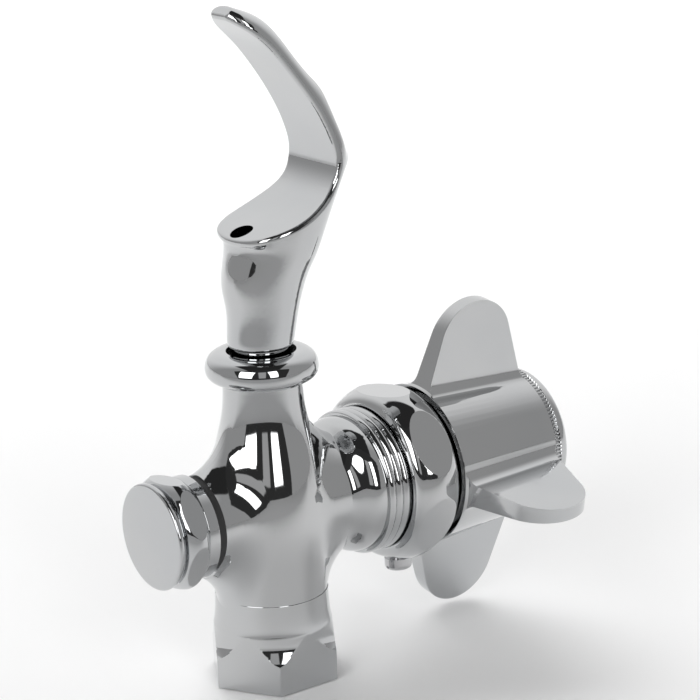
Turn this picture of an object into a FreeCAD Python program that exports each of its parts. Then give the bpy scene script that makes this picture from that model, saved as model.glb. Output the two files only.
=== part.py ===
import FreeCAD, Part
import math
import os
import Sketcher
from FreeCAD import Placement, Rotation, Vector

# A drinking fountain tap in chromed brass. Water enters the hexagonal base, a self-closing valve on
# a horizontal axis lets it through, and it leaves a nozzle under a mouth guard.
# Origin: centre of the inlet's mouth. +Z runs up, +X runs along the valve to the handle, and the
# outlet and the guard's tip point towards -X. Lengths are millimetres.

doc = FreeCAD.newDocument("drinking_fountain_tap")
sheet = doc.addObject("Spreadsheet::Sheet", "Sizes")
used_rows = [0]


class Length:
    """A size that knows both its value and the expression that binds it to the sheet."""

    def __init__(self, value, text):
        self.value = float(value)
        self.text = text

    def combine(self, other, sign, value):
        return Length(value, f"({self.text} {sign} {as_length(other).text})")

    def __add__(self, other):
        return self.combine(other, "+", self.value + as_length(other).value)

    def __radd__(self, other):
        return as_length(other) + self

    def __sub__(self, other):
        return self.combine(other, "-", self.value - as_length(other).value)

    def __rsub__(self, other):
        return as_length(other) - self

    def __mul__(self, factor):
        return self.combine(factor, "*", self.value * as_length(factor).value)

    def __rmul__(self, factor):
        return self * factor

    def __truediv__(self, divisor):
        return self.combine(divisor, "/", self.value / as_length(divisor).value)

    def __neg__(self):
        return Length(-self.value, f"(0 - {self.text})")


def as_length(value):
    return value if isinstance(value, Length) else Length(value, repr(float(value)))


def driving(alias, value):
    """Write one driving dimension to the sheet and return it."""
    used_rows[0] += 1
    row = used_rows[0]
    sheet.set(f"A{row}", alias)
    sheet.set(f"B{row}", str(value))
    sheet.setAlias(f"B{row}", alias)
    return Length(value, f"Sizes.{alias}")


# Clearances
thread_clearance = driving("thread_clearance", 0.05)
running_clearance = driving("running_clearance", 0.05)
drop_in_clearance = driving("drop_in_clearance", 0.3)

# Body casting, vertical barrel
axis_height = driving("axis_height", 33.0)
base_across_flats = driving("base_across_flats", 22.2)
base_edge_height = driving("base_edge_height", 5.8)
base_shoulder_height = driving("base_shoulder_height", 10.4)
base_scoop_height = driving("base_scoop_height", 2.0)
lower_barrel_radius = driving("lower_barrel_radius", 10.4)
barrel_waist_radius = driving("barrel_waist_radius", 10.8)
barrel_waist_height = driving("barrel_waist_height", 22.0)
middle_radius = driving("middle_radius", 11.6)
middle_drop = driving("middle_drop", 2.0)
shoulder_radius = driving("shoulder_radius", 10.6)
shoulder_height = driving("shoulder_height", 40.0)
flare_radius = driving("flare_radius", 8.6)
flare_height = driving("flare_height", 47.5)
neck_radius = driving("neck_radius", 7.36)
neck_bottom = driving("neck_bottom", 56.5)
neck_top = driving("neck_top", 57.6)
collar_radius = driving("collar_radius", 10.3)
collar_edge_bottom = driving("collar_edge_bottom", 59.7)
collar_edge_top = driving("collar_edge_top", 61.0)
collar_top = driving("collar_top", 63.0)
collar_lip_width = driving("collar_lip_width", 0.7)
collar_rounding = driving("collar_rounding", 0.6)

# Body casting, horizontal bosses
left_boss_end = driving("left_boss_end", 15.0)
left_boss_radius = driving("left_boss_radius", 8.6)
left_blend_radius = driving("left_blend_radius", 11.0)
right_boss_end = driving("right_boss_end", 28.0)
right_boss_radius = driving("right_boss_radius", 10.2)
right_blend_radius = driving("right_blend_radius", 11.0)
right_flare_start = driving("right_flare_start", 12.0)
right_flare_end = driving("right_flare_end", 17.5)
right_flare_radius = driving("right_flare_radius", 13.0)
right_flare_land = driving("right_flare_land", 1.6)
bead_groove_depth = driving("bead_groove_depth", 0.9)
bead_gap = driving("bead_gap", 0.5)
bead_width = driving("bead_width", 1.2)
bead_radius = driving("bead_radius", 13.4)
bead_rounding = driving("bead_rounding", 0.6)
body_thread_radius = driving("body_thread_radius", 13.2)

# Waterways in the body
inlet_radius = driving("inlet_radius", 7.5)
inlet_depth = driving("inlet_depth", 11.0)
supply_radius = driving("supply_radius", 2.2)
supply_offset = driving("supply_offset", 5.2)
chamber_radius = driving("chamber_radius", 8.3)
chamber_floor = driving("chamber_floor", 4.5)
seat_wall = driving("seat_wall", 4.0)
seat_thread_radius = driving("seat_thread_radius", 4.4)
regulator_bore_radius = driving("regulator_bore_radius", 4.6)
cap_thread_radius = driving("cap_thread_radius", 6.4)
cap_thread_depth = driving("cap_thread_depth", 6.5)
outlet_passage_radius = driving("outlet_passage_radius", 2.0)
outlet_passage_offset = driving("outlet_passage_offset", 3.2)
socket_radius = driving("socket_radius", 6.45)
socket_depth = driving("socket_depth", 6.2)

# Nozzle with its mouth guard
spigot_radius = driving("spigot_radius", 5.3)
nozzle_seal_height = driving("nozzle_seal_height", 2.6)
nozzle_shoulder_height = driving("nozzle_shoulder_height", 63.9)
nozzle_foot_radius = driving("nozzle_foot_radius", 5.9)
stem_top_radius = driving("stem_top_radius", 9.5)
dish_half_length = driving("dish_half_length", 13.3)
dish_half_width = driving("dish_half_width", 9.8)
dish_height = driving("dish_height", 90.6)
guard_height = driving("guard_height", 126.0)
guard_edge_rounding = driving("guard_edge_rounding", 0.8)
nozzle_foot_rounding = driving("nozzle_foot_rounding", 0.6)
outlet_radius = driving("outlet_radius", 2.15)
outlet_offset = driving("outlet_offset", 3.1)
outlet_drop = driving("outlet_drop", 4.8)

# Regulator cap on the left
cap_gasket_thickness = driving("cap_gasket_thickness", 1.9)
cap_gasket_radius = driving("cap_gasket_radius", 8.7)
cap_flange_thickness = driving("cap_flange_thickness", 2.4)
cap_flange_radius = driving("cap_flange_radius", 9.66)
cap_hex_length = driving("cap_hex_length", 4.0)
cap_across_flats = driving("cap_across_flats", 19.4)
cap_groove_width = driving("cap_groove_width", 0.5)
cap_groove_radius = driving("cap_groove_radius", 9.0)
cap_disc_thickness = driving("cap_disc_thickness", 1.9)
cap_disc_radius = driving("cap_disc_radius", 9.9)
cap_edge_rounding = driving("cap_edge_rounding", 0.7)
cap_hollow_radius = driving("cap_hollow_radius", 4.7)
cap_hex_turn = driving("cap_hex_turn", 4.0)
cap_hex_crest = driving("cap_hex_crest", 0.35)
cap_crown_depth = driving("cap_crown_depth", 1.6)

# Regulator screw
regulator_length = driving("regulator_length", 11.0)
regulator_inset = driving("regulator_inset", 3.0)
regulator_slot_width = driving("regulator_slot_width", 1.2)
regulator_slot_depth = driving("regulator_slot_depth", 1.4)
regulator_ring_section = driving("regulator_ring_section", 1.2)
regulator_ring_place = driving("regulator_ring_place", 4.0)
regulator_land = driving("regulator_land", 0.7)

# Valve seat, washer and stem
orifice_radius = driving("orifice_radius", 2.7)
seat_flange_radius = driving("seat_flange_radius", 5.4)
seat_flange_thickness = driving("seat_flange_thickness", 0.8)
seat_rim_height = driving("seat_rim_height", 0.7)
seat_rim_width = driving("seat_rim_width", 0.7)
washer_radius = driving("washer_radius", 4.8)
washer_thickness = driving("washer_thickness", 2.0)
holder_radius = driving("holder_radius", 5.9)
holder_floor = driving("holder_floor", 2.0)
stem_radius = driving("stem_radius", 2.6)
stem_length = driving("stem_length", 18.5)
washer_screw_radius = driving("washer_screw_radius", 1.1)
washer_screw_head_radius = driving("washer_screw_head_radius", 2.0)
washer_screw_head_height = driving("washer_screw_head_height", 1.0)
washer_screw_length = driving("washer_screw_length", 5.0)
washer_screw_slot_width = driving("washer_screw_slot_width", 0.6)
valve_lift = driving("valve_lift", 2.5)

# Return spring
spring_wire_radius = driving("spring_wire_radius", 0.5)
spring_coil_radius = driving("spring_coil_radius", 4.6)
spring_turns = driving("spring_turns", 5.0)

# Bonnet, its nut and the ring that closes it
bonnet_tip = driving("bonnet_tip", 13.5)
bonnet_bore_radius = driving("bonnet_bore_radius", 6.9)
bonnet_gasket_thickness = driving("bonnet_gasket_thickness", 0.8)
bonnet_flange_thickness = driving("bonnet_flange_thickness", 2.2)
bonnet_flange_radius = driving("bonnet_flange_radius", 12.9)
bonnet_collar_radius = driving("bonnet_collar_radius", 11.4)
bonnet_neck_radius = driving("bonnet_neck_radius", 8.2)
bonnet_neck_end = driving("bonnet_neck_end", 41.0)
nut_start = driving("nut_start", 23.2)
nut_end = driving("nut_end", 33.3)
nut_across_flats = driving("nut_across_flats", 31.75)
nut_chamfer_radius = driving("nut_chamfer_radius", 14.1)
nut_chamfer_slope = driving("nut_chamfer_slope", 0.7)
nut_turn = driving("nut_turn", 4.0)
closing_ring_thickness = driving("closing_ring_thickness", 0.7)
closing_ring_radius = driving("closing_ring_radius", 13.9)
set_screw_offset = driving("set_screw_offset", 28.9)
set_screw_head_radius = driving("set_screw_head_radius", 2.6)
set_screw_head_height = driving("set_screw_head_height", 2.3)
set_screw_gap = driving("set_screw_gap", 1.5)
set_screw_shank_radius = driving("set_screw_shank_radius", 1.6)
set_screw_depth = driving("set_screw_depth", 1.8)
set_screw_slot_width = driving("set_screw_slot_width", 0.7)
set_screw_slot_depth = driving("set_screw_slot_depth", 0.9)

# Spindle and its packing
spindle_radius = driving("spindle_radius", 4.6)
spindle_collar_radius = driving("spindle_collar_radius", 6.4)
spindle_collar_start = driving("spindle_collar_start", 22.5)
spindle_collar_thickness = driving("spindle_collar_thickness", 1.5)
spindle_square = driving("spindle_square", 6.4)
packing_length = driving("packing_length", 4.0)
packing_radius = driving("packing_radius", 6.3)
gland_thread_length = driving("gland_thread_length", 2.5)
gland_head_length = driving("gland_head_length", 2.6)
gland_across_flats = driving("gland_across_flats", 13.0)

# Handle
handle_turn = driving("handle_turn", 8.0)
hub_start = driving("hub_start", 34.5)
hub_end = driving("hub_end", 58.4)
hub_left_radius = driving("hub_left_radius", 15.8)
hub_right_radius = driving("hub_right_radius", 14.3)
hub_recess_radius = driving("hub_recess_radius", 12.9)
hub_web_start = driving("hub_web_start", 45.5)
hub_web_thickness = driving("hub_web_thickness", 5.0)
hub_screw_recess_radius = driving("hub_screw_recess_radius", 10.5)
hub_edge_rounding = driving("hub_edge_rounding", 0.8)
wing_centre = driving("wing_centre", 46.2)
wing_root_half_width = driving("wing_root_half_width", 11.7)
wing_root_radius = driving("wing_root_radius", 14.0)
wing_reach = driving("wing_reach", 32.0)
wing_tip_radius = driving("wing_tip_radius", 8.3)
wing_thickness = driving("wing_thickness", 5.6)
wing_edge_rounding = driving("wing_edge_rounding", 1.9)

# Handle screw and index cap
screw_head_radius = driving("screw_head_radius", 4.4)
screw_head_height = driving("screw_head_height", 2.6)
screw_shank_radius = driving("screw_shank_radius", 2.0)
screw_shank_length = driving("screw_shank_length", 9.0)
screw_slot_width = driving("screw_slot_width", 1.1)
screw_slot_depth = driving("screw_slot_depth", 1.2)
index_rim_radius = driving("index_rim_radius", 14.1)
index_rim_width = driving("index_rim_width", 1.4)
index_body_radius = driving("index_body_radius", 13.6)
index_height = driving("index_height", 4.2)
index_edge_rounding = driving("index_edge_rounding", 1.6)
index_skirt_depth = driving("index_skirt_depth", 3.0)
index_wall = driving("index_wall", 1.2)
knurl_count = driving("knurl_count", 60)
knurl_depth = driving("knurl_depth", 0.35)

doc.recompute()

ORIGIN_PLANES = ("XY_Plane", "XZ_Plane", "YZ_Plane")
parts = []


def bind(target, prop, length):
    """Bind one property of an object to the sheet."""
    target.setExpression(prop, as_length(length).text)


def new_body(label):
    body = doc.addObject("PartDesign::Body", label)
    body.Label = label
    return body


def origin_feature(body, role):
    return next(item for item in body.Origin.OriginFeatures if item.Role == role)


def new_sketch(body, name, plane, offset=None):
    """Add a sketch on one of the body's own planes, at a bound offset from it."""
    sketch = body.newObject("Sketcher::SketchObject", name)
    sketch.AttachmentSupport = [(origin_feature(body, plane), "")]
    sketch.MapMode = "FlatFace"
    if offset is not None:
        bind(sketch, "AttachmentOffset.Base.z", offset)
    return sketch


def fix_point(sketch, geometry, point, place):
    """Hold one point of a sketch at a place given by two bound coordinates."""
    for kind, coordinate in zip(("DistanceX", "DistanceY"), place):
        coordinate = as_length(coordinate)
        index = sketch.addConstraint(
            Sketcher.Constraint(kind, -1, 1, geometry, point, coordinate.value))
        sketch.setExpression(f"Constraints[{index}]", coordinate.text)


def draw_outline(sketch, places):
    """Draw a closed outline of straight lines through places of bound coordinates."""
    corners = [Vector(as_length(x).value, as_length(y).value, 0) for x, y in places]
    count = len(corners)
    lines = [Part.LineSegment(corners[i], corners[(i + 1) % count]) for i in range(count)]
    sketch.addGeometry(lines, False)
    for i in range(count):
        sketch.addConstraint(Sketcher.Constraint("Coincident", i, 2, (i + 1) % count, 1))
    for i, place in enumerate(places):
        fix_point(sketch, i, 1, place)


def turn(body, name, places, axis="X", cut=False):
    """Revolve an outline about an axis, as added metal or as a cut.

    About X a place is (distance along the axis, radius), and about Z it is (radius, height).
    """
    sketch = new_sketch(body, f"{name}_outline", "XZ_Plane")
    draw_outline(sketch, places)
    kind = "PartDesign::Groove" if cut else "PartDesign::Revolution"
    feature = body.newObject(kind, name)
    feature.Profile = sketch
    feature.ReferenceAxis = (origin_feature(body, f"{axis}_Axis"), [""])
    feature.Angle = 360
    return feature


def round_edges(body, name, radius, chosen):
    """Fillet the edges of the body's last feature that the chosen test accepts."""
    doc.recompute()
    base = body.Tip
    names = [f"Edge{i + 1}" for i, edge in enumerate(base.Shape.Edges) if chosen(edge)]
    if not names:
        raise ValueError(f"{name} finds no edge to round")
    fillet = body.newObject("PartDesign::Fillet", name)
    fillet.Base = (base, names)
    bind(fillet, "Radius", radius)
    return fillet


def is_ring(edge, along, place, radius):
    """Say whether an edge is a full circle at a place along an axis, with a radius."""
    if not isinstance(edge.Curve, Part.Circle):
        return False
    near = abs(getattr(edge.Curve.Center, along) - place) < 0.01
    return near and abs(edge.Curve.Radius - radius) < 0.01


def hexagon(across_flats, first_corner):
    """Return the six corners of a hexagon, the first at an angle in degrees."""
    reach = across_flats / math.sqrt(3)
    places = []
    for i in range(6):
        angle = first_corner + 60 * i
        x = Length(reach.value * math.cos(math.radians(as_length(angle).value)),
                   f"({reach.text} * cos({as_length(angle).text} * 1deg))")
        y = Length(reach.value * math.sin(math.radians(as_length(angle).value)),
                   f"({reach.text} * sin({as_length(angle).text} * 1deg))")
        places.append((x, y))
    return places


def pad(body, name, plane, offset, places, length, cut=False, both=False, flipped=False):
    """Extrude an outline from a bound offset of a plane, as added metal or as a cut."""
    sketch = new_sketch(body, f"{name}_outline", plane, offset)
    draw_outline(sketch, places)
    feature = body.newObject("PartDesign::Pocket" if cut else "PartDesign::Pad", name)
    feature.Profile = sketch
    bind(feature, "Length", length)
    feature.Midplane = both
    feature.Reversed = flipped
    return feature


def drill(body, name, plane, offset, centre, radius, length, flipped=False):
    """Cut a round hole from a bound offset of a plane."""
    sketch = new_sketch(body, f"{name}_outline", plane, offset)
    place = Vector(as_length(centre[0]).value, as_length(centre[1]).value, 0)
    sketch.addGeometry(Part.Circle(place, Vector(0, 0, 1), radius.value), False)
    fix_point(sketch, 0, 3, centre)
    index = sketch.addConstraint(Sketcher.Constraint("Radius", 0, radius.value))
    sketch.setExpression(f"Constraints[{index}]", radius.text)
    feature = body.newObject("PartDesign::Pocket", name)
    feature.Profile = sketch
    bind(feature, "Length", length)
    feature.Reversed = flipped
    return feature


def on_valve_axis(body):
    """Lift a sub-part that was drawn about X to the valve's axis, and keep it."""
    bind(body, "Placement.Base.z", axis_height)
    parts.append(body)
    return body


def rectangle(left, right, low, high):
    return [(left, low), (right, low), (right, high), (left, high)]


def slot(body, name, plane, offset, half_reach, width, depth, flipped=False):
    """Cut a driver slot across a screw's end."""
    places = rectangle(-half_reach, half_reach, -width / 2, width / 2)
    return pad(body, name, plane, offset, places, depth, cut=True, flipped=flipped)


def revolved(edges, direction, base):
    """Revolve a closed outline of edges about a line."""
    return Part.Face(Part.Wire(edges)).revolve(base, direction, 360)


def straight_edges(corners):
    """Join corners by straight edges into a closed run."""
    return [Part.makeLine(corners[i], corners[(i + 1) % len(corners)]) for i in range(len(corners))]


def turned_upright(places):
    """Revolve an outline of (radius, height) places about Z."""
    corners = [Vector(radius, 0, height) for radius, height in places]
    return revolved(straight_edges(corners), Vector(0, 0, 1), Vector())


def turned_along(places):
    """Revolve an outline of (distance along X, radius) places about the valve's axis."""
    level = axis_height.value
    corners = [Vector(along, 0, level + radius) for along, radius in places]
    return revolved(straight_edges(corners), Vector(1, 0, 0), Vector(0, 0, level))


def rod_along(start, end, radius):
    """Return a round bar on the valve's axis."""
    return Part.makeCylinder(radius, end - start, Vector(start, 0, axis_height.value), Vector(1, 0, 0))


def smooth_edge(places, first, last):
    """Return a smooth edge through places, with set directions at its two ends."""
    curve = Part.BSplineCurve()
    curve.interpolate(places, InitialTangent=first, FinalTangent=last)
    return curve.toShape()


def rounded_rings(shape, radius, rings):
    """Fillet full-circle edges, each named by the place of its centre and its radius."""
    chosen = [edge for edge in shape.Edges for axis, place, ring_radius in rings
              if is_ring(edge, axis, place, ring_radius)]
    if len(chosen) < len(rings):
        raise ValueError(f"only {len(chosen)} of {len(rings)} rings found")
    return shape.makeFillet(radius, chosen)


def add_shape(label, shape, placement=None):
    """Keep a sub-part whose surfaces no sketch feature gives."""
    feature = doc.addObject("Part::Feature", label)
    feature.Label = label
    feature.Shape = shape
    feature.Placement = placement or Placement()
    parts.append(feature)
    return feature


# Body casting: a vase-shaped barrel with a boss to each side, blended by large hollow curves,
# on a hexagonal base, with a socket for the nozzle in a collar on top
def barrel_with_bosses():
    up = Vector(0, 0, 1)
    overrun = 2 * collar_radius.value
    bottom = -overrun
    top = collar_top.value + overrun
    places = [
        Vector(lower_barrel_radius.value, 0, base_shoulder_height.value),
        Vector(barrel_waist_radius.value, 0, barrel_waist_height.value),
        Vector(middle_radius.value, 0, axis_height.value - middle_drop.value),
        Vector(shoulder_radius.value, 0, shoulder_height.value),
        Vector(flare_radius.value, 0, flare_height.value),
        Vector(neck_radius.value, 0, neck_bottom.value)]
    low, high = places[0], places[-1]
    side = [
        Part.makeLine(Vector(0, 0, bottom), Vector(low.x, 0, bottom)),
        Part.makeLine(Vector(low.x, 0, bottom), low),
        smooth_edge(places, up, up),
        Part.makeLine(high, Vector(high.x, 0, top)),
        Part.makeLine(Vector(high.x, 0, top), Vector(0, 0, top)),
        Part.makeLine(Vector(0, 0, top), Vector(0, 0, bottom))]
    barrel = revolved(side, up, Vector())
    reach = left_boss_end.value + right_boss_end.value
    left = rod_along(-reach, 0, left_boss_radius.value)
    right = rod_along(0, reach, right_boss_radius.value)
    crossing = barrel.fuse([left, right]).removeSplitter()

    def is_joint(edge):
        plain = isinstance(edge.Curve, (Part.Circle, Part.Line))
        return not plain and edge.BoundBox.YLength > left_boss_radius.value / 3

    for blend, sign in ((right_blend_radius.value, 1), (left_blend_radius.value, -1)):
        joints = [edge for edge in crossing.Edges
                  if is_joint(edge) and 0 < edge.CenterOfMass.x * sign < middle_radius.value + 1
                  and abs(edge.CenterOfMass.z - axis_height.value) < left_boss_radius.value]
        crossing = crossing.makeFillet(blend, joints)
    kept = Part.makeBox(
        left_boss_end.value + right_boss_end.value, 4 * middle_radius.value, neck_top.value,
        Vector(-left_boss_end.value, -2 * middle_radius.value, base_edge_height.value / 2))
    return crossing.common(kept)


def hexagonal_base():
    reach = base_across_flats.value / math.sqrt(3)
    corners = [Vector(reach * math.cos(math.radians(60 * i)), reach * math.sin(math.radians(60 * i)), 0)
               for i in range(6)]
    prism = Part.Face(Part.Wire(straight_edges(corners))).extrude(
        Vector(0, 0, base_shoulder_height.value + base_scoop_height.value))
    start = Vector(reach, 0, base_edge_height.value)
    end = Vector(lower_barrel_radius.value - base_scoop_height.value / 2, 0,
                 base_shoulder_height.value + base_scoop_height.value)
    level = Vector(0, 0, start.z)
    side = [
        Part.makeLine(Vector(), Vector(reach, 0, 0)),
        Part.makeLine(Vector(reach, 0, 0), start),
        smooth_edge([start, end], Vector(-1, 0, 0.6), Vector(-0.4, 0, 1)),
        Part.makeLine(end, Vector(0, 0, end.z)),
        Part.makeLine(Vector(0, 0, end.z), level),
        Part.makeLine(level, Vector())]
    return prism.common(revolved(side, Vector(0, 0, 1), Vector()))


def collar():
    lip = socket_radius.value + collar_lip_width.value
    ring = turned_upright([
        (0, neck_top.value), (neck_radius.value, neck_top.value),
        (collar_radius.value, collar_edge_bottom.value), (collar_radius.value, collar_edge_top.value),
        (lip, collar_top.value), (0, collar_top.value)])
    rings = [("z", collar_edge_bottom.value, collar_radius.value),
             ("z", collar_edge_top.value, collar_radius.value)]
    return rounded_rings(ring, collar_rounding.value, rings)


def right_boss_rings():
    """The boss's swelling, its two beads and the thread that the nut runs on."""
    level = Vector(0, 0, axis_height.value)
    root = Vector(right_flare_start.value, 0, right_boss_radius.value)
    crest = Vector(right_flare_end.value, 0, right_flare_radius.value)
    groove = right_flare_radius.value - bead_groove_depth.value
    end = right_flare_end.value + right_flare_land.value
    run = [root, crest, Vector(end, 0, crest.z)]
    for i in range(2):
        start = end + bead_gap.value + i * (bead_width.value + bead_gap.value)
        run += [Vector(start - bead_gap.value, 0, groove), Vector(start, 0, groove),
                Vector(start, 0, bead_radius.value), Vector(start + bead_width.value, 0, bead_radius.value)]
    last = run[-1].x
    run += [Vector(last, 0, body_thread_radius.value),
            Vector(right_boss_end.value, 0, body_thread_radius.value),
            Vector(right_boss_end.value, 0, 0), Vector(root.x, 0, 0)]
    run = [place + level for place in run]
    flare = smooth_edge(run[:2], Vector(1, 0, 0.2), Vector(1, 0, 0))
    edges = [flare] + [Part.makeLine(run[i], run[(i + 1) % len(run)]) for i in range(1, len(run))]
    rings = revolved(edges, Vector(1, 0, 0), level)
    crests = [("x", end, crest.z)]
    return rounded_rings(rings, bead_rounding.value, crests)


def body_waterways():
    """The inlet, the supply drilling, the valve chamber, the regulator's bore and the outlet."""
    level = axis_height.value
    inlet = Part.makeCylinder(inlet_radius.value, inlet_depth.value)
    supply = Part.makeCylinder(supply_radius.value, level - inlet_depth.value,
                               Vector(supply_offset.value, 0, inlet_depth.value))
    chamber = rod_along(chamber_floor.value, right_boss_end.value, chamber_radius.value)
    seat_hole = rod_along(chamber_floor.value - seat_wall.value, chamber_floor.value,
                          seat_thread_radius.value)
    regulator = rod_along(-left_boss_end.value, chamber_floor.value - seat_wall.value,
                          regulator_bore_radius.value)
    cap_hole = rod_along(-left_boss_end.value, cap_thread_depth.value - left_boss_end.value,
                         cap_thread_radius.value)
    outlet = Part.makeCylinder(outlet_passage_radius.value, collar_top.value - level,
                               Vector(-outlet_passage_offset.value, 0, level))
    socket = Part.makeCylinder(socket_radius.value, socket_depth.value,
                               Vector(0, 0, collar_top.value - socket_depth.value))
    return [inlet, supply, chamber, seat_hole, regulator, cap_hole, outlet, socket]


def make_valve_body():
    shape = barrel_with_bosses().fuse([hexagonal_base(), collar(), right_boss_rings()])
    shape = shape.removeSplitter().cut(body_waterways())
    add_shape("valve_body", shape)


# Nozzle: a round stem that swells into a leaf-shaped dish, whose heel sweeps up and over the outlet
# as the guard, all one casting
OVAL_POINTS = 16
# Across the stem, from its foot: share of the way up to the dish, forward place, radius
STEM_SECTIONS = ((0.15, 0.4, 6.35), (0.32, 0.8, 7.0), (0.5, 1.6, 7.95))
STEM_TOP_SHARE = 0.75
STEM_TOP_PLACE = 3.3
DISH_PLACE = 6.3
DISH_TILT = 24
# Across the guard, from the dish: share of the way up, forward place, tilt, half depth, half width
GUARD_SECTIONS = (
    (0.22, 13.1, 16, 4.7, 7.9), (0.378, 11.0, 25, 4.7, 7.4), (0.562, 6.9, 32, 4.6, 6.9),
    (0.743, 2.0, 38, 4.4, 6.4), (0.9, -2.6, 43, 3.1, 5.5), (0.975, -5.4, 45, 1.5, 2.6))
# The inner face, from the dish's lip to the guard's tip: forward place, height above the dish
INNER_FACE = (
    (-10.5, -7.4), (-3.0, -5.0), (2.4, -3.4), (7.4, -1.3), (11.2, 1.6), (13.1, 6.2), (12.2, 10.3),
    (9.2, 16.4), (4.6, 23.0), (-0.8, 29.2), (-9.5, 36.0))


def oval(x, z, tilt, half_depth, half_width):
    """Return a closed curve across the spine at (x, z), tilted up from level."""
    lean = math.radians(tilt)
    places = []
    for i in range(OVAL_POINTS):
        turn_angle = 2 * math.pi * i / OVAL_POINTS
        outward = half_depth * math.cos(turn_angle)
        places.append(Vector(x + outward * math.cos(lean), half_width * math.sin(turn_angle),
                             z + outward * math.sin(lean)))
    curve = Part.BSplineCurve()
    curve.interpolate(places, PeriodicFlag=True)
    return Part.Wire(curve.toShape())


def nozzle_blank():
    """The full round horn, before its inner side is hollowed away."""
    foot = nozzle_shoulder_height.value
    dish = dish_height.value
    stem = dish - foot
    rise = guard_height.value - dish
    foot_radius = nozzle_foot_radius.value
    top_radius = stem_top_radius.value
    sections = [oval(0, foot, 0, foot_radius, foot_radius)]
    sections += [oval(x, foot + share * stem, 0, radius, radius) for share, x, radius in STEM_SECTIONS]
    sections += [
        oval(STEM_TOP_PLACE, foot + STEM_TOP_SHARE * stem, 0, top_radius, top_radius),
        oval(DISH_PLACE, dish, DISH_TILT, dish_half_length.value, dish_half_width.value)]
    sections += [oval(x, dish + share * rise, tilt, half_depth, half_width)
                 for share, x, tilt, half_depth, half_width in GUARD_SECTIONS]
    return Part.makeLoft(sections, True)


def nozzle_hollow():
    """What is taken from the horn's inner side: the dish and the space under the guard."""
    dish = dish_height.value
    inner = [Vector(x, 0, dish + above) for x, above in INNER_FACE]
    reach = 3 * dish_half_length.value
    outer = [inner[-1], Vector(-reach, 0, inner[-1].z + reach / 2), Vector(-reach, 0, inner[0].z),
             inner[0]]
    edges = [smooth_edge(inner, Vector(1, 0, 0.12), Vector(-1, 0, 0.75))]
    edges += [Part.makeLine(outer[i], outer[i + 1]) for i in range(3)]
    face = Part.Face(Part.Wire(edges))
    depth = 2 * dish_half_width.value
    face.translate(Vector(0, -depth, 0))
    return face.extrude(Vector(0, 2 * depth, 0))


def make_nozzle():
    foot = nozzle_shoulder_height.value
    shape = nozzle_blank().cut(nozzle_hollow())
    rim = [edge for edge in shape.Edges if edge.BoundBox.ZMin > foot + nozzle_foot_radius.value
           and edge.BoundBox.YLength > outlet_radius.value]
    shape = shape.makeFillet(guard_edge_rounding.value, rim)
    foot_ring = [edge for edge in shape.Edges
                 if edge.BoundBox.ZMax < foot + 0.01 and edge.BoundBox.YLength > spigot_radius.value]
    shape = shape.makeFillet(nozzle_foot_rounding.value, foot_ring)
    spigot_end = collar_top.value - socket_depth.value + drop_in_clearance.value
    overlap = nozzle_foot_rounding.value
    spigot = Part.makeCylinder(spigot_radius.value, foot + overlap - spigot_end,
                               Vector(0, 0, spigot_end))
    outlet = Vector(-outlet_offset.value, 0, dish_height.value - outlet_drop.value)
    start = Vector(0, 0, spigot_end)
    direction = outlet - start
    passage = Part.makeCylinder(outlet_radius.value, direction.Length + dish_half_width.value, start,
                                direction)
    shape = shape.fuse(spigot).removeSplitter().cut(passage)
    add_shape("nozzle", shape)


# Left cap: a domed plug that covers the regulator screw
def make_regulator_cap():
    body = new_body("regulator_cap")
    flange_left = left_boss_end + cap_gasket_thickness + cap_flange_thickness
    flange_right = left_boss_end + cap_gasket_thickness
    hex_left = flange_left + cap_hex_length
    disc_right = hex_left + cap_groove_width
    face = disc_right + cap_disc_thickness
    plug_end = left_boss_end - cap_thread_depth + drop_in_clearance * 2
    plug_radius = cap_thread_radius - thread_clearance
    turn(body, "cap_turning", [
        (-face, 0), (-face, cap_disc_radius), (-disc_right, cap_disc_radius),
        (-disc_right, cap_groove_radius), (-hex_left, cap_groove_radius),
        (-flange_left, cap_groove_radius), (-flange_left, cap_flange_radius),
        (-flange_right, cap_flange_radius), (-flange_right, plug_radius), (-plug_end, plug_radius),
        (-plug_end, cap_hollow_radius), (-hex_left, cap_hollow_radius), (-hex_left, 0)])
    pad(body, "cap_hex", "YZ_Plane", -hex_left, hexagon(cap_across_flats, -cap_hex_turn), cap_hex_length)
    corner = cap_across_flats / 2 + cap_hex_crest
    for name, edge, inward in (("cap_left_crown", hex_left, -1), ("cap_right_crown", flange_left, 1)):
        turn(body, name, [
            (-edge, corner), (-edge, corner + 2),
            (-edge - inward * cap_crown_depth, corner + 2)], cut=True)
    round_edges(body, "cap_rounding", cap_edge_rounding,
                lambda edge: is_ring(edge, "x", -face.value, cap_disc_radius.value))
    on_valve_axis(body)


def make_cap_gasket():
    body = new_body("cap_gasket")
    turn(body, "gasket_ring", rectangle(
        -left_boss_end - cap_gasket_thickness, -left_boss_end,
        cap_thread_radius + thread_clearance, cap_gasket_radius))
    on_valve_axis(body)


# Regulator screw: it throttles the water on its way to the nozzle
def make_regulator_screw():
    body = new_body("regulator_screw")
    head = regulator_inset - left_boss_end
    shank = regulator_bore_radius - running_clearance
    ring_left = head + regulator_ring_place
    ring_right = ring_left + regulator_ring_section + running_clearance * 4
    floor = shank - regulator_ring_section
    land = ring_right + regulator_land
    tip = head + regulator_length
    turn(body, "screw_turning", [
        (head, 0), (head, shank), (ring_left, shank), (ring_left, floor), (ring_right, floor),
        (ring_right, shank), (land, shank), (land, orifice_radius), (tip, orifice_radius / 2),
        (tip, 0)])
    slot(body, "driver_slot", "YZ_Plane", head, regulator_bore_radius, regulator_slot_width,
         regulator_slot_depth, flipped=True)
    on_valve_axis(body)


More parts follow.
